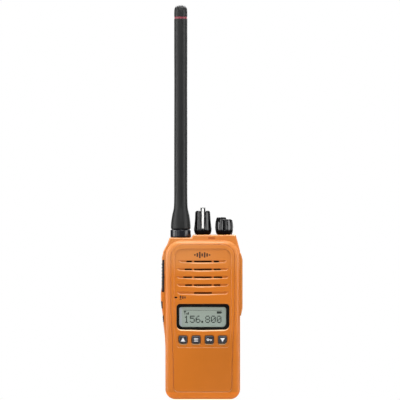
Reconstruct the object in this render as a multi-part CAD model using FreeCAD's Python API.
# Hand-held two-way radio: front case with speaker grille, display and keys, die-cast rear
# chassis, slide-on battery pack, screw-on whip antenna, two rotary controls, side buttons,
# hinged jack cover and sprung belt clip.
# Frame: millimetres, +Z up, +X to the right when facing the display, -Y towards the user.
# Origin: centre of the flat bottom face. Each piece is one STEP file named after its node.
import FreeCAD, Part
import math
import os

V = FreeCAD.Vector
SIDES = (-1, 1)          # left and right

# ---------------------------------------------------------------- driving dimensions
BODY_W = 51.9            # width of the case over the plain sides
BODY_D = 24.5            # depth, display face to battery back
HALF = BODY_W / 2
DECK_Z = 114.3           # height of the knob deck
DECK_LOW_Z = 112.35      # height of the lower deck round the antenna
DECK_STEP_X = -7.5       # where the deck steps down
WALL = 1.6               # general wall of the plastic case
DECK_IN_Z = DECK_Z - WALL        # underside of the deck
CORNER_R = 7.0           # bottom corner radius seen from the front
Y_FRONT = -BODY_D / 2    # frontmost plane of the case
Y_BACK = BODY_D / 2      # back of the battery and of the chassis head
INNER_Y = Y_FRONT + 1.8  # inside of the front wall
Y_SPLIT_LOW = 1.0        # front of the chassis behind the display
Y_SPLIT_HEAD = 7.5       # front of the chassis in the head
GASKET_T = 0.4           # the front case ends this far before the chassis
CASE_END_LOW = Y_SPLIT_LOW - GASKET_T
CASE_END_HEAD = Y_SPLIT_HEAD - GASKET_T
CHASSIS_T = 1.6
SHELF_Z = 87.6           # underside of the head shelf above the battery
BATT_TOP_Z = 87.3        # top of the battery pack

# screw places as (x, z), each mirrored left and right
CASE_SCREW_LOW = (20.4, 7.4)
CASE_SCREW_HEAD = (20.0, 94.3)
BOARD_SCREW_LOW = (18.0, 17.5)
BOARD_SCREW_HIGH = (9.0, 102.6)
CLIP_SCREW = (8.4, 93.0)

TRAY_HALF = 19.8         # shallow tapering tray in the face
TRAY_TOP_Z = 104.5
TRAY_FADE_Z, TRAY_FULL_Z = 36.0, 104.0    # the floor slopes between these heights
TRAY_FADE_DEPTH, TRAY_DEPTH = 0.12, 0.6   # and between these depths

# speaker slot rows: z, outer end of the side slots (0 for none), half width of the scoop
SLOT_ROWS = ((95.8, 11.4, 17.0), (90.33, 12.6, 18.1), (84.85, 13.6, 18.4),
             (79.4, 12.3, 18.4), (73.93, 0.0, 18.1))
SLOT_H = 1.0
SPEAKER_Z, SPEAKER_R = 85.0, 14.0
MIC_X, MIC_Z = -18.9, 70.8

DISP_X, DISP_W = 0.15, 36.7      # display centre and width
DISP_Z0, DISP_Z1 = 48.3, 66.3

KEY_Z = 41.5             # key row centre
KEY_W, KEY_H = 5.75, 5.45
KEY_PROUD = 0.6
# name, centre x, corner radii from lower left, counter-clockwise as seen from the front
KEYS = (
    ("key_up", -13.75, (2.3, 1.2, 1.0, 1.0)),
    ("key_function", -4.6, (1.2, 1.2, 1.0, 1.0)),
    ("key_lock", 4.6, (1.2, 1.2, 1.0, 1.0)),
    ("key_down", 13.75, (1.2, 2.3, 1.0, 1.0)),
)

CHANNEL_X, VOLUME_X, KNOB_Y = 0.1, 15.05, 0.0    # control axes
CHANNEL_SHAFT_TOP = DECK_Z + 12.0
VOLUME_SHAFT_TOP = DECK_Z + 8.4
SHAFT_R = 2.5
BUSH_R, BUSH_BORE = 3.5, 2.55
ANT_X, ANT_Y = -15.3, 0.0        # antenna axis
STUD_R = 3.17                    # antenna stud, outside of thread
STUD_TOP_Z, TIP_TOP_Z = 121.0, 126.0     # top of the stud and of the thin tip on it
ANT_R = 4.6
FERRULE_R = 7.2

PTT_Z0, PTT_Z1 = 74.6, 96.8      # push-to-talk button
PTT_Y0, PTT_Y1 = -7.9, -0.9
PTT_FENCE_X = -26.6      # the case wall in front of the button reaches this far out
PTT_PLUNGER = (-5.5, (PTT_Z0 + PTT_Z1) / 2)      # y, z
SIDE_KEY_Z = ((63.0, 67.9), (53.6, 58.1))        # upper and lower key
SIDE_KEY_Y0, SIDE_KEY_Y1 = -7.9, -2.6
SIDE_FENCE_X = (-27.85, -27.05)
SIDE_PLUNGERS = [(-6.1, (z0 + z1) / 2) for z0, z1 in SIDE_KEY_Z]
SIDE_GAP = 0.15          # play of the buttons in their pockets
POCKET_X = -25.4         # floor of the button pockets

COVER_X = 27.7           # outer face of the jack cover
COVER_Z0, COVER_Z1 = 58.0, 101.6
HINGE_X, HINGE_Y = 26.85, 0.1
HINGE_Z0, HINGE_Z1 = 62.6, 97.2  # the hinge barrels stop short of the sloped cover ends
HINGE_R = 0.85
KNUCKLE_L = 3.4
BARREL_END = KNUCKLE_L + 0.15    # cover barrel, inward from each end of the hinge
JACK_WINDOW = (-6.3, -0.1, 71.5, 91.5)   # y0, y1, z0, z1
JACK_Y = -3.1
JACKS = ((87.0, 1.8), (76.0, 1.3))       # z, bore radius

BATT_HALF = 25.7
BATT_SPLIT_Y = 6.5       # back of the front shell
CONTACT_X = (-9, -3, 3, 9)
CHARGE_X, CHARGE_Z = (-7, 0, 7), 11.0

CLIP_PIN_Y, CLIP_PIN_Z = 16.3, 97.5
CLIP_W = 18.0

os.makedirs("parts", exist_ok=True)


# ---------------------------------------------------------------- helpers
def save(name, shape):
    """Writes one node: a single solid as itself, several as a compound."""
    solids = shape.Solids
    if not solids:
        raise ValueError(name + " has no solid")
    for solid in solids:
        if not solid.isValid():
            solid.fix(1e-4, 1e-4, 1e-4)
    out = solids[0] if len(solids) == 1 else Part.makeCompound(solids)
    out.exportStep(os.path.join("parts", name + ".step"))


def box(x0, x1, y0, y1, z0, z1):
    return Part.makeBox(x1 - x0, y1 - y0, z1 - z0, V(x0, y0, z0))


def cyl_z(x, y, r, z0, z1):
    return Part.makeCylinder(r, z1 - z0, V(x, y, z0), V(0, 0, 1))


def cyl_y(x, z, r, y0, y1):
    return Part.makeCylinder(r, y1 - y0, V(x, y0, z), V(0, 1, 0))


def cyl_x(y, z, r, x0, x1):
    return Part.makeCylinder(r, x1 - x0, V(x0, y, z), V(1, 0, 0))


def span(side, inner, outer):
    """Low and high x of a range given by its distances from the centre plane."""
    return sorted((side * inner, side * outer))


def wire(verts, place):
    """Closed wire from a corner polygon [(a, b, radius)]; place(a, b) gives the 3D point."""
    corners = []         # start of the arc, its middle (None if sharp), its end
    for i, (bx, by, r) in enumerate(verts):
        ax, ay, _ = verts[i - 1]
        cx, cy, _ = verts[(i + 1) % len(verts)]
        if r <= 0:
            corners.append(((bx, by), None, (bx, by)))
            continue
        ux, uy = ax - bx, ay - by
        vx, vy = cx - bx, cy - by
        u_len, v_len = math.hypot(ux, uy), math.hypot(vx, vy)
        ux, uy, vx, vy = ux / u_len, uy / u_len, vx / v_len, vy / v_len
        half = math.acos(max(-1.0, min(1.0, ux * vx + uy * vy))) / 2
        run = r / math.tan(half)
        mx, my = ux + vx, uy + vy
        m_len = math.hypot(mx, my)
        reach = r / math.sin(half) - r
        corners.append(((bx + ux * run, by + uy * run),
                        (bx + mx / m_len * reach, by + my / m_len * reach),
                        (bx + vx * run, by + vy * run)))
    edges = []
    for i, (start, middle, end) in enumerate(corners):
        if middle is not None:
            edges.append(Part.Arc(place(*start), place(*middle), place(*end)).toShape())
        following = corners[(i + 1) % len(corners)][0]
        if math.hypot(following[0] - end[0], following[1] - end[1]) > 1e-6:
            edges.append(Part.makeLine(place(*end), place(*following)))
    return Part.Wire(edges)


def wire_y(verts, y):
    return wire(verts, lambda x, z: V(x, y, z))


def prism_x(verts, x0, x1):
    """Corners (y, z, radius) extruded along x."""
    return Part.Face(wire(verts, lambda y, z: V(x0, y, z))).extrude(V(x1 - x0, 0, 0))


def prism_y(verts, y0, y1):
    """Corners (x, z, radius) extruded along y."""
    return Part.Face(wire_y(verts, y0)).extrude(V(0, y1 - y0, 0))


def prism_z(verts, z0, z1):
    """Corners (x, y, radius) extruded along z."""
    return Part.Face(wire(verts, lambda x, y: V(x, y, z0))).extrude(V(0, 0, z1 - z0))


def loft_y(verts_a, y_a, verts_b, y_b):
    """Ruled solid between two outlines of corners (x, z, radius)."""
    return Part.makeLoft([wire_y(verts_a, y_a), wire_y(verts_b, y_b)], True, True)


def rect(a0, a1, b0, b1, r):
    """Rectangle with one radius, or four counter-clockwise from (a0, b0)."""
    r0, r1, r2, r3 = r if isinstance(r, (tuple, list)) else (r, r, r, r)
    return [(a0, b0, r0), (a1, b0, r1), (a1, b1, r2), (a0, b1, r3)]


def inset(verts, dist, shrink=1.0):
    """Moves each edge of a counter-clockwise polygon inwards; radii drop by dist * shrink."""
    lines = []           # point on the moved edge and its direction
    for i, (ax, ay, _) in enumerate(verts):
        bx, by, _ = verts[(i + 1) % len(verts)]
        dx, dy = bx - ax, by - ay
        length = math.hypot(dx, dy)
        dx, dy = dx / length, dy / length
        lines.append((ax - dy * dist, ay + dx * dist, dx, dy))
    out = []
    for i, (_, _, r) in enumerate(verts):
        px, py, dx, dy = lines[i - 1]
        qx, qy, ex, ey = lines[i]
        det = dx * ey - dy * ex
        if abs(det) < 1e-9:
            out.append((qx, qy, r))
            continue
        t = ((qx - px) * ey - (qy - py) * ex) / det
        out.append((px + dx * t, py + dy * t, max(r - dist * shrink, 0.5)))
    return out


def turned_z(profile, x, y):
    """Revolves a closed (r, z) polygon about the vertical axis through x, y."""
    points = [V(x + r, y, z) for r, z in profile]
    face = Part.Face(Part.makePolygon(points + [points[0]]))
    return face.revolve(V(x, y, 0), V(0, 0, 1), 360)


def turned_y(profile, x, z):
    """Revolves a closed (r, y) polygon about the front-to-back axis through x, z."""
    points = [V(x + r, y, z) for r, y in profile]
    face = Part.Face(Part.makePolygon(points + [points[0]]))
    return face.revolve(V(x, 0, z), V(0, 1, 0), 360)


def chamfer_where(shape, size, test):
    """Chamfers the edges whose bounding box passes the test."""
    edges = [edge for edge in shape.Edges if test(edge.BoundBox)]
    if not edges:
        return shape
    # the chamfer can fail on short edges; the piece then keeps them sharp
    try:
        out = shape.makeChamfer(size, edges)
        if out.isValid() and out.Solids:
            return out
    except Exception:
        pass
    return shape


def coil(radius, wire_r, pitch, height):
    """Helical wire about the z axis, rising from z = 0."""
    path = Part.Wire(Part.makeHelix(pitch, height, radius))
    heading = V(0, 1, pitch / (2 * math.pi * radius))
    section = Part.Wire(Part.makeCircle(wire_r, V(radius, 0, 0), heading))
    body = path.makePipeShell([section], True, True)
    # the sweep may come back as a bare shell
    return body.Solids[0] if body.Solids else Part.Solid(body)


def add_bosses(body, bosses):
    """Fuses cylinders along y on both sides; each is (x, z), radius, y0, y1."""
    for side in SIDES:
        for (x, z), r, y0, y1 in bosses:
            body = body.fuse(cyl_y(side * x, z, r, y0, y1))
    return body


def drill(body, holes):
    """Cuts round holes along y on both sides; each is (x, z), radius, y0, y1."""
    for side in SIDES:
        for (x, z), r, y0, y1 in holes:
            body = body.cut(cyl_y(side * x, z, r, y0, y1))
    return body


# ---------------------------------------------------------------- outlines: x, z, radius
BODY_OUT = [
    (-HALF, 0.0, CORNER_R), (HALF, 0.0, CORNER_R), (HALF, 103.2, 5.0), (24.35, 109.2, 4.0),
    (23.0, DECK_Z, 1.1), (DECK_STEP_X + 0.8, DECK_Z, 0.7),
    (DECK_STEP_X - 0.25, DECK_LOW_Z, 0.5), (-23.1, DECK_LOW_Z, 0.9),
    (-24.6, 107.9, 4.0), (-27.3, 103.2, 4.0), (-28.35, 98.6, 5.0), (-28.7, 77.6, 2.5),
    (-29.15, 74.2, 2.5), (-29.15, 67.4, 4.0), (-28.0, 60.0, 8.0), (-27.35, 52.2, 12.0),
    (-26.3, 43.5, 14.0), (-HALF, 36.5, 8.0),
]
CAVITY = [
    (-23.8, WALL, 5.3), (24.05, WALL, 5.3), (24.05, 102.6, 3.5), (22.7, 108.6, 2.5),
    (21.6, DECK_IN_Z, 0.8), (-6.1, DECK_IN_Z, 0.5), (-7.0, DECK_LOW_Z - WALL, 0.4),
    (-21.5, DECK_LOW_Z - WALL, 0.8), (-22.6, 107.2, 2.5), (-23.8, 103.8, 2.5),
]
TRAY_OUT = [
    (-17.6, TRAY_FADE_Z + 0.2, 2.2), (17.6, TRAY_FADE_Z + 0.2, 2.2), (19.0, 43.0, 0),
    (TRAY_HALF, 52.0, 0), (TRAY_HALF, TRAY_TOP_Z, 5.8), (-TRAY_HALF, TRAY_TOP_Z, 5.8),
    (-TRAY_HALF, 52.0, 0), (-19.0, 43.0, 0),
]
# front plate from the flat face back through its bevel and rolled edge:
# depth, half width low, middle and up, bottom z, top z, bottom and top corner radius
PLATE_LEVELS = (
    (0.0, 20.2, 21.0, 22.1, 5.3, 107.6, 3.4, 8.3),
    (0.55, 23.0, 23.35, 23.75, 2.9, 108.75, 4.8, 9.4),
    (1.05, 24.4, 24.55, 24.7, 1.35, 109.45, 6.0, 10.2),
    (1.75, 25.3, 25.4, 25.42, 0.5, 110.0, 6.6, 10.7),
    (2.65, 25.78, 25.93, 25.94, 0.03, 110.35, 6.9, 11.0),
    (3.6, 25.79, 25.94, 25.95, 0.0, 110.4, 6.95, 11.0),
)


def plate_ring(low, mid, up, bottom, top, r_low, r_up):
    return [(-low, bottom, r_low), (low, bottom, r_low), (low + 0.15, 20, 0), (mid, 40, 0),
            (up, 62, 0), (up, top, r_up), (-up, top, r_up), (-up, 62, 0), (-mid, 40, 0),
            (-low - 0.15, 20, 0)]


def screen(sides, below, above, r_low, r_up):
    """Display outline grown outwards, its lower edge bowed downwards."""
    x0, x1 = DISP_X - DISP_W / 2 - sides, DISP_X + DISP_W / 2 + sides
    z0, z1 = DISP_Z0 - below, DISP_Z1 + above
    return [(x0, z0 + 0.3, r_low), ((x0 + x1) / 2, z0 - 0.2, 90.0), (x1, z0 + 0.3, r_low),
            (x1, z1, r_up), (x0, z1, r_up)]


def key_rect(key_x, radii, grow, more_below=0.0, more_above=0.0):
    """Key outline grown outwards by one distance, and by more below and above."""
    return rect(key_x - KEY_W / 2 - grow, key_x + KEY_W / 2 + grow,
                KEY_Z - KEY_H / 2 - grow - more_below,
                KEY_Z + KEY_H / 2 + grow + more_above, radii)


# ---------------------------------------------------------------- front case
def front_plate():
    levels = [(Y_FRONT + depth, plate_ring(*sizes)) for depth, *sizes in PLATE_LEVELS]
    pieces = [loft_y(a, ya, b, yb) for (ya, a), (yb, b) in zip(levels, levels[1:])]
    plate = pieces[0]
    for piece in pieces[1:]:
        plate = plate.fuse(piece)
    return plate


def cut_button_pocket(body, y0, y1, z0, z1, fence_x):
    """Pocket in the left wall; the wall in front of it is trimmed back to fence_x."""
    z0, z1 = z0 - SIDE_GAP, z1 + SIDE_GAP
    body = body.cut(box(-35, POCKET_X, y0 - SIDE_GAP, y1 + SIDE_GAP, z0, z1))
    return body.cut(box(-35, fence_x, -13, y0, z0, z1))


def case_body():
    """The deeper body behind the front plate, with a rounded front edge."""
    start, middle, full = Y_FRONT + 2.6, Y_FRONT + 2.95, Y_FRONT + 3.6
    rounded = inset(BODY_OUT, 0.28)
    body = loft_y(inset(BODY_OUT, 0.7), start, rounded, middle)
    body = body.fuse(loft_y(rounded, middle, BODY_OUT, full))
    body = body.fuse(prism_y(BODY_OUT, full, CASE_END_HEAD))
    # below the battery shelf the case is shallower
    body = body.cut(box(-40, 40, CASE_END_LOW, 30, -1, SHELF_Z + GASKET_T))
    body = cut_button_pocket(body, PTT_Y0, PTT_Y1, PTT_Z0, PTT_Z1, PTT_FENCE_X)
    for (z0, z1), fence_x in zip(SIDE_KEY_Z, SIDE_FENCE_X):
        body = cut_button_pocket(body, SIDE_KEY_Y0, SIDE_KEY_Y1, z0, z1, fence_x)
    return body


def cut_crease_and_tray(case):
    # crease that frames the flat face
    panel = plate_ring(*PLATE_LEVELS[0][1:])
    y0, y1 = Y_FRONT - 0.12, Y_FRONT + 0.42
    crease = loft_y(inset(panel, -0.32, 0.6), y0, inset(panel, 0.0), y1)
    crease = crease.cut(loft_y(inset(panel, 0.30, 0.6), y0, inset(panel, 0.02), y1))
    case = case.cut(crease)
    # tray with a sloping floor
    tray = loft_y(inset(TRAY_OUT, -0.30, 0.5), Y_FRONT - 0.05,
                  inset(TRAY_OUT, 0.25, 0.5), Y_FRONT + TRAY_DEPTH + 0.02)
    y_fade, y_full = Y_FRONT + TRAY_FADE_DEPTH, Y_FRONT + TRAY_DEPTH
    wedge = prism_x([(Y_FRONT - 2, 20, 0), (y_fade, 20, 0), (y_fade, TRAY_FADE_Z, 0),
                     (y_full, TRAY_FULL_Z, 0), (y_full, 110, 0), (Y_FRONT - 2, 110, 0)],
                    -30, 30)
    return case.cut(tray.common(wedge))


def scoop_outline(z, top, low_end, low_mid, half, run):
    return [(-half, z + top, 0.3), (-half + run, z + low_end, 1.6), (0, z + low_mid, 130.0),
            (half - run, z + low_end, 1.6), (half, z + top, 0.3)]


def cut_grille(case):
    """Bowed scoops with slots through the wall."""
    slope = (TRAY_DEPTH - TRAY_FADE_DEPTH) / (TRAY_FULL_Z - TRAY_FADE_Z)
    for z, reach, half in SLOT_ROWS:
        floor = Y_FRONT + TRAY_FADE_DEPTH + slope * (z - TRAY_FADE_Z)
        case = case.cut(loft_y(
            scoop_outline(z, 1.15, -1.05, -2.25, half + 0.75, 1.9), floor - 0.4,
            scoop_outline(z, 0.52, -0.45, -0.75, half - 0.9, 1.2), floor + 0.75))
        slots = [(-6.1, 6.35)]
        if reach:
            slots += [(7.6, reach), (-reach, -7.4)]
        for x0, x1 in slots:
            slot = rect(x0, x1, z - SLOT_H / 2, z + SLOT_H / 2, 0.45)
            case = case.cut(prism_y(slot, Y_FRONT, INNER_Y + 1))
    return case


def cut_display_and_keys(case):
    # display pocket with a ledge
    pocket = screen(0.05, 0.05, 0.05, 3.5, 2.4)
    case = case.cut(loft_y(screen(0.5, 1.25, 0.55, 4.3, 2.9), Y_FRONT - 0.2,
                           pocket, Y_FRONT + 0.75))
    case = case.cut(prism_y(pocket, Y_FRONT, -10.75))
    case = case.cut(prism_y(rect(-16.6, 16.5, 50.1, 64.4, 1.0), Y_FRONT, INNER_Y + 1))
    # key wells
    for _, key_x, radii in KEYS:
        outer = key_rect(key_x, [r + 0.9 for r in radii], 0.95,
                         more_below=0.4, more_above=-0.15)
        inner = key_rect(key_x, [r + 0.12 for r in radii], 0.12)
        case = case.cut(loft_y(outer, Y_FRONT - 0.35, inner, Y_FRONT + 0.75))
        case = case.cut(prism_y(inner, Y_FRONT, INNER_Y + 1))
    return case


def cut_deck_and_sides(case):
    # controls and antenna connector
    for x in (CHANNEL_X, VOLUME_X):
        case = case.cut(cyl_z(x, KNOB_Y, BUSH_R + 0.05, DECK_Z - 5, DECK_Z + 2))
    case = case.cut(cyl_z(ANT_X, ANT_Y, 4.55, DECK_LOW_Z - 5, DECK_LOW_Z + 2))
    # indicator window in the front of the deck
    case = case.cut(prism_y(rect(3.7, 8.5, 111.45, 112.6, 0.5), -11.5, -6))
    # side holes for the plungers
    case = case.cut(cyl_x(*PTT_PLUNGER, 1.55, -27, -22))
    for plunger in SIDE_PLUNGERS:
        case = case.cut(cyl_x(*plunger, 1.05, -27, -22))
    return case.cut(box(23, 30, *JACK_WINDOW))


def add_hinge_knuckles(case):
    for z0, z1 in ((HINGE_Z0, HINGE_Z0 + KNUCKLE_L), (HINGE_Z1 - KNUCKLE_L, HINGE_Z1)):
        case = case.fuse(cyl_z(HINGE_X, HINGE_Y, HINGE_R, z0, z1))
        case = case.fuse(box(HALF - 0.5, HINGE_X, HINGE_Y - HINGE_R, HINGE_Y + 0.4, z0, z1))
    return case.cut(cyl_z(HINGE_X, HINGE_Y, 0.42, HINGE_Z0 - 0.01, HINGE_Z1 - 0.8))


def front_case():
    case = front_plate().fuse(case_body())
    # hollow inside
    case = case.cut(prism_y(rect(-23.8, 23.8, WALL, 108.4, (5.3, 5.3, 6.5, 6.5)),
                            INNER_Y, -7.4))
    case = case.cut(prism_y(CAVITY, -7.6, 30))
    case = cut_crease_and_tray(case)
    case = cut_grille(case)
    # microphone slot
    case = case.cut(prism_y(rect(-19.7, -17.7, 70.3, 71.4, 0.5), Y_FRONT - 1, INNER_Y + 1))
    case = cut_display_and_keys(case)
    case = cut_deck_and_sides(case)
    boss_y = INNER_Y - 0.3
    case = add_bosses(case, (
        (CASE_SCREW_LOW, 2.3, boss_y, CASE_END_LOW),
        (CASE_SCREW_HEAD, 2.4, boss_y, CASE_END_HEAD),
        (BOARD_SCREW_LOW, 1.9, boss_y, -2.2),
        (BOARD_SCREW_HIGH, 1.9, boss_y, -2.2)))
    case = drill(case, (
        (CASE_SCREW_LOW, 1.02, -8.2, 9),
        (CASE_SCREW_HEAD, 1.02, 0.8, 9),
        (BOARD_SCREW_LOW, 0.82, -7, -1),
        (BOARD_SCREW_HIGH, 0.82, -7, -1)))
    return add_hinge_knuckles(case).removeSplitter()


# ---------------------------------------------------------------- rear chassis and gasket
def rear_chassis():
    plate = prism_y(rect(-HALF, HALF, 0, SHELF_Z, (CORNER_R, CORNER_R, 0, 0)),
                    Y_SPLIT_LOW, Y_SPLIT_LOW + CHASSIS_T)
    shelf = box(-23.6, 23.85, Y_SPLIT_LOW, Y_SPLIT_HEAD + 0.5, SHELF_Z, SHELF_Z + CHASSIS_T)
    head = prism_y(BODY_OUT, Y_SPLIT_HEAD, Y_BACK - 0.8)
    head = head.fuse(loft_y(BODY_OUT, Y_BACK - 0.8, inset(BODY_OUT, 0.8), Y_BACK))
    head = head.cut(box(-40, 40, 0, 30, -1, SHELF_Z))
    hollow = [(x, max(z, SHELF_Z + CHASSIS_T), r if z > 50 else 0.5) for x, z, r in CAVITY]
    head = head.cut(prism_y(hollow, Y_SPLIT_HEAD - 1, Y_BACK - CHASSIS_T))
    out = plate.fuse([shelf, head]).removeSplitter()
    for side in SIDES:
        screw_x, screw_z = CASE_SCREW_HEAD
        out = out.fuse(cyl_y(side * screw_x, screw_z, 2.4, Y_SPLIT_HEAD, Y_BACK - 1))
        screw_x, screw_z = CLIP_SCREW
        out = out.fuse(cyl_y(side * screw_x, screw_z, 2.2, 4.2, Y_BACK - 1))
        # battery rail: stem and wider cap
        out = out.fuse(box(*span(side, 22.0, 23.2), Y_SPLIT_LOW + 1.0, 3.9, 8, 84))
        out = out.fuse(box(*span(side, 21.2, 24.0), 3.75, 4.7, 8, 84))
    out = drill(out, (
        (CASE_SCREW_LOW, 1.05, 0, 4),
        (CASE_SCREW_LOW, 2.0, Y_SPLIT_LOW + 0.6, 6),
        (CASE_SCREW_HEAD, 1.05, 5, 14),
        (CASE_SCREW_HEAD, 2.0, Y_BACK - 1.0, 14),
        (CLIP_SCREW, 1.02, 4.25, 14)))
    # window for the battery contact block and pocket for the battery catch
    out = out.cut(box(-12.2, 12.2, 0, 3, 78.3, 84.7))
    out = out.cut(box(-4.4, 4.4, 8.2, 9.4, SHELF_Z - 1, SHELF_Z + 2))
    return out.removeSplitter()


def case_gasket():
    """A flat ribbon that follows the rim, steps up along the shelf and round the head."""
    edge = HALF - 0.25
    low = prism_y(rect(-edge, edge, 0.25, SHELF_Z + GASKET_T, (6.7, 6.7, 0, 0)),
                  CASE_END_LOW, Y_SPLIT_LOW)
    low = low.cut(prism_y(rect(-23.75, 24.0, WALL, 120, (5.3, 5.3, 0, 0)),
                          Y_SPLIT_LOW - 2, Y_SPLIT_LOW + 2))
    head = prism_y(inset(BODY_OUT, 0.25), CASE_END_HEAD, Y_SPLIT_HEAD)
    head = head.cut(prism_y(CAVITY, Y_SPLIT_HEAD - 2, Y_SPLIT_HEAD + 2))
    head = head.cut(box(-40, 40, 0, 30, -1, SHELF_Z))
    legs = [box(x0, x1, CASE_END_LOW, Y_SPLIT_HEAD, SHELF_Z, SHELF_Z + GASKET_T)
            for x0, x1 in ((-25.6, -23.75), (24.0, 25.6))]
    return low.fuse(head).fuse(legs).removeSplitter()


# ---------------------------------------------------------------- display
LENS_OUT = screen(-0.05, -0.05, -0.05, 3.4, 2.3)


def display_lens():
    return prism_y(LENS_OUT, Y_FRONT + 0.5, -10.97)


def display_mask():
    window = rect(-16.35, 16.2, 50.35, 64.2, (2.6, 2.6, 1.5, 1.5))
    return prism_y(LENS_OUT, -10.95, -10.77).cut(prism_y(window, -12, -10))


def lcd_panel():
    return box(-17.2, 17.2, -10.4, -9.3, 49.0, 65.4)


def backlight_holder():
    """Tray open at the back, with a peg in each corner."""
    holder = box(-17.6, 17.6, -9.28, -6.9, 48.4, 66.0)
    holder = holder.cut(box(-15.2, 15.2, -8.2, -6.8, 50.5, 64.0))
    pegs = [cyl_y(side * 16.4, z, 0.7, -7.2, -6.55) for side in SIDES for z in (49.6, 64.8)]
    return holder.fuse(pegs).removeSplitter()


# ---------------------------------------------------------------- keys
def key(key_x, radii):
    """Cap with a two-step bevelled front, a flange behind the wall and a plunger."""
    y0 = Y_FRONT - KEY_PROUD
    face = key_rect(key_x, [max(r - 0.45, 0.4) for r in radii], -0.5)
    shoulder = key_rect(key_x, [r - 0.1 for r in radii], -0.12)
    full = key_rect(key_x, radii, 0)
    cap = loft_y(face, y0, shoulder, y0 + 0.3)
    cap = cap.fuse(loft_y(shoulder, y0 + 0.3, full, y0 + 0.7))
    cap = cap.fuse(prism_y(full, y0 + 0.7, -10.2))
    cap = cap.fuse(prism_y(key_rect(key_x, 0.6, 0.7), -10.42, -9.85))
    cap = cap.fuse(cyl_y(key_x, KEY_Z, 1.5, -9.9, -7.58))
    return cap.removeSplitter()


def keypad_mat():
    mat = prism_y(rect(-19.6, 19.6, 36.6, 46.4, 1.0), -9.0, -8.2)
    for _, x, _ in KEYS:
        ring = cyl_y(x, KEY_Z, 2.6, -9.0, -7.2).cut(cyl_y(x, KEY_Z, 1.9, -8.2, -6))
        mat = mat.fuse(ring)
        mat = mat.cut(cyl_y(x, KEY_Z, 1.62, -11, -5))
    return mat.removeSplitter()


# ---------------------------------------------------------------- speaker and microphone
def speaker_frame():
    """Basket with its magnet, in one unit; profile of r, y."""
    return turned_y([
        (SPEAKER_R, -10.1), (SPEAKER_R, -8.9), (12.9, -8.7), (8.6, -6.2), (8.0, -6.2),
        (8.0, -3.6), (0, -3.6), (0, -6.0), (7.4, -6.0), (7.6, -6.6), (12.2, -9.2),
        (12.6, -9.4), (12.8, -10.1)], 0, SPEAKER_Z)


def speaker_cone():
    """Thin cone in front of the magnet; profile of r, y."""
    return turned_y([
        (12.5, -10.0), (12.5, -9.6), (12.0, -9.4), (6.9, -6.7), (3.2, -6.5), (0, -7.2),
        (0, -7.5), (3.4, -6.95), (6.7, -7.1), (11.8, -9.75)], 0, SPEAKER_Z)


def speaker_cloth():
    return prism_y(rect(-15.2, 15.2, 71.4, 98.3, 3.0), -10.43, -10.15)


def microphone():
    capsule = cyl_y(MIC_X, MIC_Z, 1.95, -10.42, -8.0)
    return capsule.cut(cyl_y(MIC_X, MIC_Z, 0.7, -11, -9.6))


# ---------------------------------------------------------------- boards and screws
BOARD_BACK_Y = -1.0


def front_board():
    return prism_y(rect(-20.8, 20.8, 34.5, 68.0, 1.0), -6.5, -5.5)


def main_board():
    board = prism_y(rect(-21.3, 21.3, 10.5, 104.3, 1.0), -2.2, BOARD_BACK_Y)
    board = drill(board, (
        (CASE_SCREW_LOW, 3.4, -5, 2),
        (CASE_SCREW_HEAD, 2.8, -5, 2),
        (BOARD_SCREW_LOW, 0.95, -5, 2),
        (BOARD_SCREW_HIGH, 0.95, -5, 2)))
    # room for the jack block
    board = board.cut(box(17.0, 24, -5, 2, 71.0, 92.0))
    return board.removeSplitter()


def board_screws():
    """Pan heads on the rear of the board."""
    seat = BOARD_BACK_Y + 0.02
    return Part.makeCompound([
        cyl_y(side * x, z, 0.8, -6.4, seat).fuse(cyl_y(side * x, z, 1.6, seat, 0.0))
        for x, z in (BOARD_SCREW_LOW, BOARD_SCREW_HIGH) for side in SIDES])


def case_screw(x, z, seat):
    screw = cyl_y(x, z, 1.0, seat - 8.5, seat + 0.01).fuse(cyl_y(x, z, 1.9, seat, seat + 0.9))
    # cross recess
    for half_x, half_z in ((1.2, 0.22), (0.22, 1.2)):
        screw = screw.cut(box(x - half_x, x + half_x, seat + 0.55, seat + 2,
                              z - half_z, z + half_z))
    return screw.removeSplitter()


def case_screws():
    """Case and clip screws, heads to the rear."""
    seats = ((CASE_SCREW_LOW, Y_SPLIT_LOW + 0.62), (CASE_SCREW_HEAD, Y_BACK - 0.98),
             (CLIP_SCREW, Y_BACK + 0.62))
    return Part.makeCompound([case_screw(side * x, z, seat)
                              for (x, z), seat in seats for side in SIDES])


# ---------------------------------------------------------------- rotary controls
CONTROL_TOP_Z = DECK_IN_Z - 0.75
CONTROL_BOT_Z = CONTROL_TOP_Z - 5.0


def control_body(x):
    body = box(x - 6, x + 6, KNOB_Y - 6, KNOB_Y + 6, CONTROL_BOT_Z, CONTROL_TOP_Z)
    body = body.fuse(cyl_z(x, KNOB_Y, BUSH_R, DECK_IN_Z - 0.8, DECK_Z + 1.15))
    body = body.cut(cyl_z(x, KNOB_Y, BUSH_BORE, CONTROL_BOT_Z + 1.0, DECK_Z + 3))
    return body.removeSplitter()


def control_shaft(x, top):
    body = cyl_z(x, KNOB_Y, SHAFT_R, CONTROL_BOT_Z + 1.1, top)
    # flat on the upper end keys the knob
    return body.cut(box(x - 5, x + 5, KNOB_Y + 1.6, KNOB_Y + 5, DECK_Z + 2.2, top + 1))


def control_nuts():
    """Round nuts on the bushes, each with a slot across the top."""
    nuts = []
    for x in (CHANNEL_X, VOLUME_X):
        nut = cyl_z(x, KNOB_Y, 4.3, DECK_Z + 0.02, DECK_Z + 0.98)
        nut = nut.cut(cyl_z(x, KNOB_Y, BUSH_R + 0.02, 100, 120))
        nuts.append(nut.cut(box(x - 0.5, x + 0.5, -6, 6, DECK_Z + 0.6, DECK_Z + 2)))
    return Part.makeCompound(nuts)


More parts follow.
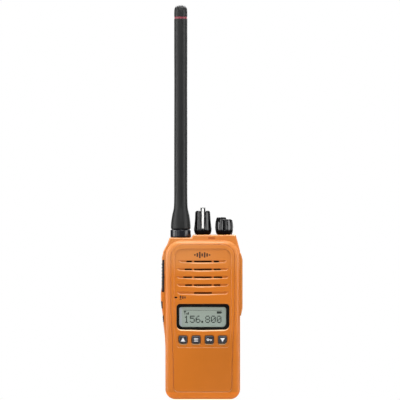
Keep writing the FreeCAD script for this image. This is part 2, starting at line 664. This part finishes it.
def knob_bore(x, top):
    """The space inside a knob: hollow over the nut, then a D shaped bore."""
    bore = cyl_z(x, KNOB_Y, SHAFT_R + 0.02, DECK_Z - 1, top)
    bore = bore.cut(box(x - 5, x + 5, KNOB_Y + 1.62, KNOB_Y + 5, DECK_Z + 2.25, top + 1))
    return bore.fuse(cyl_z(x, KNOB_Y, 4.4, DECK_Z - 1, DECK_Z + 1.3))


def cut_scoops(knob, x, orbit, r, z0, z1):
    """Six finger scoops round a knob."""
    for k in range(6):
        angle = math.radians(30 + 60 * k)
        knob = knob.cut(cyl_z(x + orbit * math.cos(angle), KNOB_Y + orbit * math.sin(angle),
                              r, z0, z1))
    return knob


def channel_knob():
    """Tall control: turned body with six scoops and a blade standing above the top."""
    profile = [(0, 114.55), (5.2, 114.55), (5.75, 115.6), (6.2, 117.4), (6.2, 118.5),
               (5.85, 121.0), (5.5, 125.0), (5.35, 129.6), (4.95, 130.7), (4.2, 131.05),
               (0, 131.05)]
    knob = turned_z(profile, CHANNEL_X, KNOB_Y)
    knob = cut_scoops(knob, CHANNEL_X, 7.9, 3.1, 118.0, 133)
    blade = [(KNOB_Y - 5.35, 118.0, 0), (KNOB_Y + 4.4, 118.0, 0), (KNOB_Y + 4.4, 130.0, 2.4),
             (KNOB_Y + 3.2, 133.35, 1.2), (KNOB_Y - 5.15, 133.35, 1.2)]
    knob = knob.fuse(prism_x(blade, CHANNEL_X - 1.7, CHANNEL_X + 1.7))
    knob = knob.fuse(cyl_z(CHANNEL_X, KNOB_Y, 3.6, 117.5, 131.0))
    knob = knob.cut(knob_bore(CHANNEL_X, CHANNEL_SHAFT_TOP + 0.1))
    # groove for the pointer
    knob = knob.cut(prism_x(rect(KNOB_Y - 5.75, KNOB_Y - 4.9, 117.6, 132.9, 0),
                            CHANNEL_X - 0.78, CHANNEL_X + 0.78))
    return knob.removeSplitter()


def knob_pointer():
    outline = [(KNOB_Y - 5.32, 118.7, 0), (KNOB_Y - 4.92, 118.7, 0),
               (KNOB_Y - 4.92, 132.85, 0), (KNOB_Y - 5.17, 132.85, 0)]
    return prism_x(outline, CHANNEL_X - 0.75, CHANNEL_X + 0.75)


def volume_knob():
    """Short control: wider skirt, six scoops and a raised rib across the top."""
    profile = [(0, 114.55), (5.2, 114.55), (5.75, 115.6), (6.2, 117.4), (6.4, 119.2),
               (6.32, 121.2), (6.12, 123.2), (5.85, 124.3), (5.2, 124.95), (4.4, 125.1),
               (0, 125.1)]
    knob = turned_z(profile, VOLUME_X, KNOB_Y)
    knob = cut_scoops(knob, VOLUME_X, 8.1, 2.75, 117.6, 127)
    rib = prism_x([(-6.0, 118.0, 0), (0.4, 118.0, 0), (0.4, 125.0, 0), (-0.5, 126.45, 0.7),
                   (-5.1, 126.6, 0.8), (-6.0, 125.0, 1.2)], -1.9, 1.9)
    rib.rotate(V(0, 0, 0), V(0, 0, 1), -48)
    rib.translate(V(VOLUME_X, KNOB_Y, 0))
    knob = knob.fuse(rib)
    knob = knob.cut(knob_bore(VOLUME_X, VOLUME_SHAFT_TOP + 0.1))
    return knob.removeSplitter()


# ---------------------------------------------------------------- antenna
def ant_cyl(r, z0, z1):
    return cyl_z(ANT_X, ANT_Y, r, z0, z1)


def antenna_connector():
    connector = ant_cyl(4.5, 104.6, DECK_LOW_Z - 0.02)
    connector = connector.fuse(ant_cyl(5.6, 106.4, DECK_LOW_Z - WALL - 0.05))
    return connector.cut(ant_cyl(STUD_R + 0.05, 105.6, 120)).removeSplitter()


def antenna_stud():
    stud = ant_cyl(STUD_R, 106.0, STUD_TOP_Z)
    return stud.fuse(ant_cyl(1.0, STUD_TOP_Z, TIP_TOP_Z)).removeSplitter()


def antenna_seal():
    return ant_cyl(5.6, DECK_LOW_Z + 0.03, DECK_LOW_Z + 0.75).cut(ant_cyl(4.7, 100, 130))


def antenna_ferrule():
    bore = STUD_R + 0.02
    ferrule = turned_z([(bore, 112.45), (6.6, 112.45), (FERRULE_R, 112.9),
                        (FERRULE_R, 117.4), (6.7, 117.85), (bore, 117.85)], ANT_X, ANT_Y)
    # groove for the seal
    groove = ant_cyl(5.65, 112.3, DECK_LOW_Z + 0.8).cut(ant_cyl(4.65, 100, 130))
    return ferrule.cut(groove)


def antenna_mast():
    """Rubber mast: waisted neck, soft swelling at the foot, long slender whip."""
    profile = [(0, 117.9), (6.1, 117.9), (6.35, 118.25), (6.9, 118.8), (6.9, 120.5),
               (6.72, 123.0), (6.42, 125.4), (6.0, 128.0), (5.5, 130.2), (5.1, 131.8),
               (4.86, 133.4), (4.72, 136.0), (ANT_R, 141.0), (ANT_R, 180.0), (4.52, 220.0),
               (ANT_R, 240.0), (ANT_R, 264.9), (0, 264.9)]
    mast = turned_z(profile, ANT_X, ANT_Y)
    mast = mast.cut(ant_cyl(STUD_R + 0.02, 110, STUD_TOP_Z + 0.05))
    return mast.cut(ant_cyl(1.02, STUD_TOP_Z, TIP_TOP_Z + 0.05))


def antenna_ring():
    return ant_cyl(4.45, 264.92, 266.38)


def antenna_cap():
    return turned_z([(0, 266.4), (ANT_R, 266.4), (ANT_R, 269.6), (4.5, 271.4), (4.2, 272.6),
                     (3.6, 273.5), (2.7, 274.2), (1.4, 274.5), (0, 274.55)], ANT_X, ANT_Y)


# ---------------------------------------------------------------- side buttons
# name, outer x at the top and at the bottom, z offsets of the raised bars
SIDE_KEYS = (
    ("side_key_upper", -29.05, -28.55, (0.0,)),
    ("side_key_lower", -27.95, -27.55, (-0.75, 0.75)),
)


def slab(x_top, x_bottom, x_in, y0, y1, z0, z1, r):
    """Button blank whose outer face slopes from x_bottom to x_top."""
    x_far = min(x_top, x_bottom)
    blank = prism_x(rect(y0, y1, z0, z1, r), x_far - 0.5, x_in)
    cutter = prism_y([(x_far - 3, z0 - 1, 0), (x_bottom, z0 - 1, 0), (x_top, z1 + 1, 0),
                      (x_far - 3, z1 + 1, 0)], y0 - 2, y1 + 2)
    return blank.cut(cutter)


def ptt_button():
    ptt = slab(-28.15, -28.45, -27.05, PTT_Y0, PTT_Y1, PTT_Z0, PTT_Z1, 1.2)
    ptt = chamfer_where(ptt, 0.45, lambda b: b.XMax < -28.0 and b.XMin < -28.1)
    # grip ribs across the thumb face
    for k in range(7):
        z = 80.0 + k * 2.3
        rib = [(-28.2, z - 0.75, 0), (-28.2, z + 0.75, 0),
               (-28.62, z + 0.25, 0), (-28.62, z - 0.25, 0)]
        ptt = ptt.fuse(prism_y(rib, PTT_Y0 + 1.4, PTT_Y1 - 1.4))
    return ptt.fuse(cyl_x(*PTT_PLUNGER, 1.5, -27.3, -24.6)).removeSplitter()


def side_key(z0, z1, plunger, x_top, x_bottom, bar_offsets):
    x_far, x_near = min(x_top, x_bottom), max(x_top, x_bottom)
    body = slab(x_top, x_bottom, -27.0, SIDE_KEY_Y0, SIDE_KEY_Y1, z0, z1, 0.9)
    body = chamfer_where(body, 0.3, lambda b: b.XMax < x_far + 0.9 and b.XMin < x_near + 0.05)
    body = body.fuse(cyl_x(*plunger, 1.0, -27.3, -24.35))
    # raised bars tell the keys apart by touch
    for offset in bar_offsets:
        z = (z0 + z1) / 2 + offset
        x_face = x_top + (x_bottom - x_top) * (z1 - z) / (z1 - z0)
        body = body.fuse(prism_x(rect(-6.7, -3.8, z - 0.32, z + 0.32, 0.3),
                                 x_face - 0.14, -27.2))
    return body.removeSplitter()


def side_seals():
    """Thin pads on the pocket floors, pierced by the plungers."""
    pad = box(POCKET_X - 0.5, POCKET_X, PTT_Y0 + 0.1, PTT_Y1 - 0.1, PTT_Z0 + 0.3, PTT_Z1 - 0.3)
    seals = [pad.cut(cyl_x(*PTT_PLUNGER, 1.56, -30, -20))]
    for (z0, z1), plunger in zip(SIDE_KEY_Z, SIDE_PLUNGERS):
        pad = box(POCKET_X - 0.45, POCKET_X, SIDE_KEY_Y0 + 0.1, SIDE_KEY_Y1 - 0.1,
                  z0 + 0.2, z1 - 0.2)
        seals.append(pad.cut(cyl_x(*plunger, 1.06, -30, -20)))
    return Part.makeCompound(seals)


def side_switches():
    return Part.makeCompound([box(-23.5, -22.32, y - 1.4, y + 1.4, z - 1.7, z + 1.7)
                              for y, z in [PTT_PLUNGER] + SIDE_PLUNGERS])


def side_board():
    return box(-22.3, -21.7, -9.4, -3.2, 52.5, 90.6)


# ---------------------------------------------------------------- jack cover
def jack_cover():
    cover = prism_x(rect(-9.6, HINGE_Y, COVER_Z0, COVER_Z1, (1.6, 0.0, 0.0, 1.6)),
                    HALF + 0.08, COVER_X)
    # outer edges, except the one along the hinge
    cover = chamfer_where(cover, 0.6, lambda b: b.XMin > COVER_X - 0.01 and (
        b.YMax < HINGE_Y - 0.2 or b.YMin < HINGE_Y - 2))
    barrel_z0, barrel_z1 = HINGE_Z0 + BARREL_END, HINGE_Z1 - BARREL_END
    # clear the case knuckles, then add the barrel between them
    for z0, z1 in ((COVER_Z0 - 1, barrel_z0), (barrel_z1, COVER_Z1 + 1)):
        cover = cover.cut(box(25, 29, HINGE_Y - 1.25, 5, z0, z1))
    cover = cover.cut(box(HINGE_X - 2, 30, HINGE_Y - 0.001, 5, 50, 110))
    cover = cover.fuse(cyl_z(HINGE_X, HINGE_Y, HINGE_R, barrel_z0, barrel_z1))
    cover = cover.cut(cyl_z(HINGE_X, HINGE_Y, 0.43, 50, 110))
    # recess for the seal
    cover = cover.cut(box(25, HALF + 0.5, -6.15, -0.75, 71.75, 91.25))
    # both ends slope down to the case: z at the case, z at the outer face, z beyond
    x_low = HALF + 0.55
    for z_low, z_high, z_beyond in ((COVER_Z0, COVER_Z0 + 5.6, COVER_Z0 - 2),
                                    (COVER_Z1, COVER_Z1 - 4.6, COVER_Z1 + 2)):
        cover = cover.cut(prism_y([
            (x_low, z_low, 0), (COVER_X + 0.02, z_high, 0), (COVER_X + 2, z_high, 0),
            (COVER_X + 2, z_beyond, 0), (x_low, z_beyond, 0)], -12, 2))
    # moulded field in the outer face
    cover = cover.cut(prism_x(rect(-8.2, -2.1, 67.0, 94.0, 1.4), COVER_X - 0.3, COVER_X + 1))
    # finger notch
    cover = cover.cut(cyl_z(COVER_X + 0.6, -9.9, 1.2, 76, 84))
    return cover.removeSplitter()


def jack_cover_pin():
    return cyl_z(HINGE_X, HINGE_Y, 0.4, HINGE_Z0 + 0.05, HINGE_Z1 - 0.85)


def jack_cover_seal():
    """Cup with its rim towards the case."""
    seal = box(25.5, HALF + 0.48, -6.1, -0.8, 71.8, 91.2)
    return seal.cut(box(25, HALF + 0.05, -5.2, -1.7, 72.7, 90.3))


def jack_block():
    y0, y1, z0, z1 = JACK_WINDOW
    block = box(17.4, 25.35, y0 + 0.2, y1 - 0.2, z0 + 0.2, z1 - 0.2)
    for z, r in JACKS:
        block = block.cut(cyl_x(JACK_Y, z, r, 18.5, 27))
    return block


def indicator_lens():
    return prism_y(rect(3.75, 8.45, 111.5, 112.55, 0.45), -9.35, -7.7)


# ---------------------------------------------------------------- battery pack
BATT_OUT = rect(-BATT_HALF, BATT_HALF, 0, BATT_TOP_Z, (6.9, 6.9, 1.0, 1.0))
BATT_IN = rect(-24.3, 24.3, 1.5, BATT_TOP_Z - 1.5, (5.4, 5.4, 0.5, 0.5))


def battery_front_shell():
    y0 = Y_SPLIT_LOW + CHASSIS_T + 0.02
    shell = prism_y(BATT_OUT, y0, BATT_SPLIT_Y)
    shell = shell.cut(prism_y(BATT_IN, 4.3, 8))
    # thickened strips with T slots for the chassis rails
    for side in SIDES:
        shell = shell.fuse(box(*span(side, 19.9, 24.6), y0, 6.1, 6, BATT_TOP_Z - 0.4))
        shell = shell.cut(box(*span(side, 21.85, 23.35), 2, 4.1, 7.4, 95))
        shell = shell.cut(box(*span(side, 21.0, 24.2), 3.55, 4.9, 7.4, 95))
    for x in CONTACT_X:
        shell = shell.cut(box(x - 1.6, x + 1.6, 2, 5, 79.4, 83.6))
    # notch for the catch
    shell = shell.cut(box(-5.2, 5.2, 5.6, 9, 84, 90))
    return shell.removeSplitter()


def battery_rear_shell():
    shell = prism_y(BATT_OUT, BATT_SPLIT_Y + 0.02, Y_BACK - 1.4)
    shell = shell.fuse(loft_y(BATT_OUT, Y_BACK - 1.4, inset(BATT_OUT, 1.2, 0.6), Y_BACK))
    shell = shell.cut(prism_y(BATT_IN, 6, 10.75))
    shell = shell.cut(box(-5.2, 5.2, 5.6, 10.7, 80.5, 90))
    # pocket of the release slider, with a frame inside the shell
    shell = shell.cut(box(-7.2, 7.2, 10.0, 14, 70.4, 80.1))
    frame = box(-8.4, 8.4, 9.2, 10.8, 69, 81.5).cut(box(-7.2, 7.2, 9.0, 14, 70.4, 80.1))
    shell = shell.fuse(frame)
    # channel for the catch
    shell = shell.cut(box(-4.2, 4.2, 8.2, 10.9, 78, 90))
    for x in CHARGE_X:
        shell = shell.cut(cyl_y(x, CHARGE_Z, 1.9, Y_BACK - 0.35, 14))
    # shallow label recess, and finger grooves beside the release
    shell = shell.cut(prism_y(rect(-20.5, 20.5, 20.0, 64.0, 2.0), Y_BACK - 0.25, 14))
    for side in SIDES:
        for k in range(5):
            z = 71.5 + 2.2 * k
            groove = rect(*span(side, 11.5, 21.5), z - 0.5, z + 0.5, 0.45)
            shell = shell.cut(prism_y(groove, Y_BACK - 0.45, 14))
    return shell.removeSplitter()


def battery_cells():
    outline = rect(-18.5, 18.5, 4.5, 10.6, 1.6)
    return Part.makeCompound([prism_z(outline, 3.5, 35.0), prism_z(outline, 36.0, 67.5)])


def battery_contacts():
    return Part.makeCompound([box(x - 1.5, x + 1.5, 2.75, 4.73, 79.5, 83.5)
                              for x in CONTACT_X])


def charge_contacts():
    return Part.makeCompound([cyl_y(x, CHARGE_Z, 1.8, Y_BACK - 0.33, Y_BACK - 0.05)
                              for x in CHARGE_X])


def battery_release():
    """Ribbed slider in the pocket at the back of the pack; its springs sit under it."""
    slider = box(-7.0, 7.0, 10.1, 12.1, 73.3, 79.95)
    ribs = [box(-6.2, 6.2, 12.0, 12.7, 74.6 + k * 1.1, 75.1 + k * 1.1) for k in range(5)]
    return slider.fuse(ribs).removeSplitter()


def release_spring():
    springs = []
    for side in SIDES:
        spring = coil(radius=0.75, wire_r=0.17, pitch=0.5, height=2.25)
        spring.translate(V(side * 4.2, 11.1, 70.75))
        springs.append(spring)
    return Part.makeCompound(springs)


def battery_catch():
    """Leaf that hooks into the pocket of the shelf above."""
    return prism_x([(8.4, 74.0, 0), (9.1, 74.0, 0), (9.1, 89.3, 0), (10.1, 89.3, 0.15),
                    (9.3, 90.8, 0.2), (8.4, 90.8, 0.2)], -3.6, 3.6)


# ---------------------------------------------------------------- contacts of the radio
PIN_Z = 81.5


def contact_block():
    block = box(-12.0, 12.0, -0.9, 2.5, 78.5, 84.5)
    for x in CONTACT_X:
        block = block.cut(cyl_y(x, PIN_Z, 0.75, -2, 4))
    return block


def contact_pins():
    """Pins with a rounded rear end."""
    pins = []
    for x in CONTACT_X:
        pin = cyl_y(x, PIN_Z, 0.7, -0.95, 2.4).fuse(Part.makeSphere(0.7, V(x, 1.96, PIN_Z)))
        pins.append(pin.removeSplitter())
    return Part.makeCompound(pins)


# ---------------------------------------------------------------- belt clip
def clip_cyl(r, x0, x1):
    """Cylinder on the axis of the clip pin."""
    return cyl_x(CLIP_PIN_Y, CLIP_PIN_Z, r, x0, x1)


def clip_base():
    base = box(-10.5, 10.5, Y_BACK + 0.02, Y_BACK + 1.4, 90.8, 101.4)
    lug_r = 2.2
    for side in SIDES:
        x0, x1 = span(side, 5.0, 6.8)
        base = base.fuse(clip_cyl(lug_r, x0, x1)).fuse(
            box(x0, x1, Y_BACK + 1.0, CLIP_PIN_Y, CLIP_PIN_Z - lug_r, CLIP_PIN_Z + lug_r))
    base = base.cut(clip_cyl(1.05, -20, 20))
    base = drill(base, ((CLIP_SCREW, 1.05, 10, 16), (CLIP_SCREW, 2.0, Y_BACK + 0.6, 16)))
    return base.removeSplitter()


def clip_arm():
    profile = [                  # y, z, radius
        (15.6, 106.2, 0.4), (17.2, 106.6, 0.6), (19.0, 99.0, 6), (18.9, 60.0, 20),
        (18.0, 32.0, 10), (16.9, 17.0, 1.2), (14.6, 14.6, 0.8), (13.2, 18.5, 0.6),
        (14.4, 22.5, 1.0), (16.2, 33.0, 8), (17.2, 60.0, 20), (17.2, 92.0, 6),
        (16.6, 101.0, 1)]
    arm = prism_x(profile, -CLIP_W / 2, CLIP_W / 2)
    # opening for the lugs of the base
    arm = arm.cut(box(-7.05, 7.05, 10, 22, 93.6, 101.6))
    # long recess in the outer face and grip ribs at the free end
    skin = arm.cut(arm.translated(V(0, -0.5, 0)))
    arm = arm.cut(skin.common(prism_y(rect(-5.4, 5.4, 30.0, 88.0, 2.4), 14, 22)))
    for z in (19.6, 21.8, 24.0):
        y_face = 16.9 + 1.1 * (z - 17.0) / 15.0
        arm = arm.fuse(cyl_x(y_face - 0.1, z, 0.45, -6.4, 6.4))
    ear_r = 2.3
    for side in SIDES:
        x0, x1 = span(side, 7.05, CLIP_W / 2)
        arm = arm.fuse(clip_cyl(ear_r, x0, x1)).fuse(
            box(x0, x1, CLIP_PIN_Y, 18.2, CLIP_PIN_Z - ear_r, CLIP_PIN_Z + ear_r))
    return arm.cut(clip_cyl(1.02, -20, 20)).removeSplitter()


def clip_pin():
    return clip_cyl(1.0, -8.95, 8.95)


def clip_spring():
    """Coil round the pin with one leg running down towards the base plate."""
    radius, wire_r, length = 1.9, 0.32, 6.2
    spring = coil(radius=radius, wire_r=wire_r, pitch=0.98, height=length)
    # lay the coil along x
    spring.rotate(V(0, 0, 0), V(0, 1, 0), 90)
    spring.rotate(V(0, 0, 0), V(1, 0, 0), 90)
    spring.translate(V(-length / 2, CLIP_PIN_Y, CLIP_PIN_Z))
    leg = Part.makeCylinder(wire_r, 3.6, V(-length / 2, CLIP_PIN_Y - radius, CLIP_PIN_Z),
                            V(0, -0.12, -1))
    return spring.fuse([leg]).removeSplitter()


# ---------------------------------------------------------------- write the pieces
# each of these functions is named after its node
for make in (
        front_case, rear_chassis, case_gasket,
        display_lens, display_mask, lcd_panel, backlight_holder,
        keypad_mat, front_board, speaker_frame, speaker_cone, speaker_cloth, microphone,
        main_board, board_screws, case_screws,
        control_nuts, channel_knob, knob_pointer, volume_knob,
        antenna_connector, antenna_stud, antenna_seal, antenna_ferrule, antenna_mast,
        antenna_ring, antenna_cap,
        ptt_button, side_seals, side_switches, side_board,
        jack_cover, jack_cover_pin, jack_cover_seal, jack_block, indicator_lens,
        battery_front_shell, battery_rear_shell, battery_cells, battery_contacts,
        charge_contacts, battery_release, release_spring, battery_catch,
        contact_block, contact_pins, clip_base, clip_arm, clip_pin, clip_spring):
    save(make.__name__, make())

for name, key_x, radii in KEYS:
    save(name, key(key_x, radii))
save("channel_switch", control_body(CHANNEL_X))
save("volume_control", control_body(VOLUME_X))
save("channel_shaft", control_shaft(CHANNEL_X, CHANNEL_SHAFT_TOP))
save("volume_shaft", control_shaft(VOLUME_X, VOLUME_SHAFT_TOP))
for (z0, z1), plunger, (name, *shape) in zip(SIDE_KEY_Z, SIDE_PLUNGERS, SIDE_KEYS):
    save(name, side_key(z0, z1, plunger, *shape))
